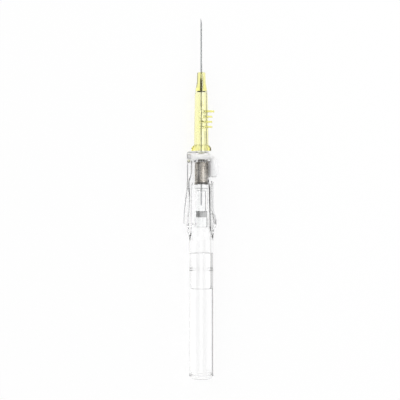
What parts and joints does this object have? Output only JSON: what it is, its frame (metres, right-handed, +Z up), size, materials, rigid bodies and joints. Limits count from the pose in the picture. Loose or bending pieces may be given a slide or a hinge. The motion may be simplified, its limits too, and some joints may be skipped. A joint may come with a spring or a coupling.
{
  "type": "iv cannula",
  "caption": "Push-button safety intravenous cannula: needle in a catheter with a coloured luer hub, clear grip, spring and closed barrel that the needle springs back into",
  "frame": {"origin": "middle of the outer box on the surface that the cannula lies on", "axes": "+Y runs along the needle to its tip, +X to the push button, +Z up from the table"},
  "size_m": [0.0138, 0.1406, 0.0094],
  "materials": {
    "needle_steel": "ground steel tube",
    "catheter_plastic": "thin translucent plastic tube",
    "wedge_steel": "drawn steel funnel",
    "hub_plastic": "yellow see-through moulding",
    "carrier_plastic": "clear moulding",
    "porous_plastic": "grey porous disc",
    "spring_steel": "bright spring wire",
    "grip_plastic": "clear moulding",
    "button_plastic": "white translucent moulding",
    "barrel_plastic": "clear moulding"
  },
  "bodies": {
    "handle": {"grip": "grip_plastic", "barrel": "barrel_plastic"},
    "button": {"button": "button_plastic"},
    "needle_carrier": {"needle": "needle_steel", "needle_hub": "carrier_plastic", "vent_plug": "porous_plastic", "spring": "spring_steel"},
    "catheter": {"catheter_hub": "hub_plastic", "catheter_tube": "catheter_plastic", "catheter_wedge": "wedge_steel"}
  },
  "joints": [
    {"name": "button_press", "type": "slide", "parent": "handle", "child": "button", "axis": [-1, 0, 0], "range_m": [0, 0.0012]},
    {"name": "needle_retract", "type": "slide", "parent": "handle", "child": "needle_carrier", "axis": [0, -1, 0], "range_m": [0, 0.0573], "deforming": ["spring"]},
    {"name": "catheter_advance", "type": "slide", "parent": "handle", "child": "catheter", "axis": [0, 1, 0], "range_m": [0, 0.055]}
  ]
}
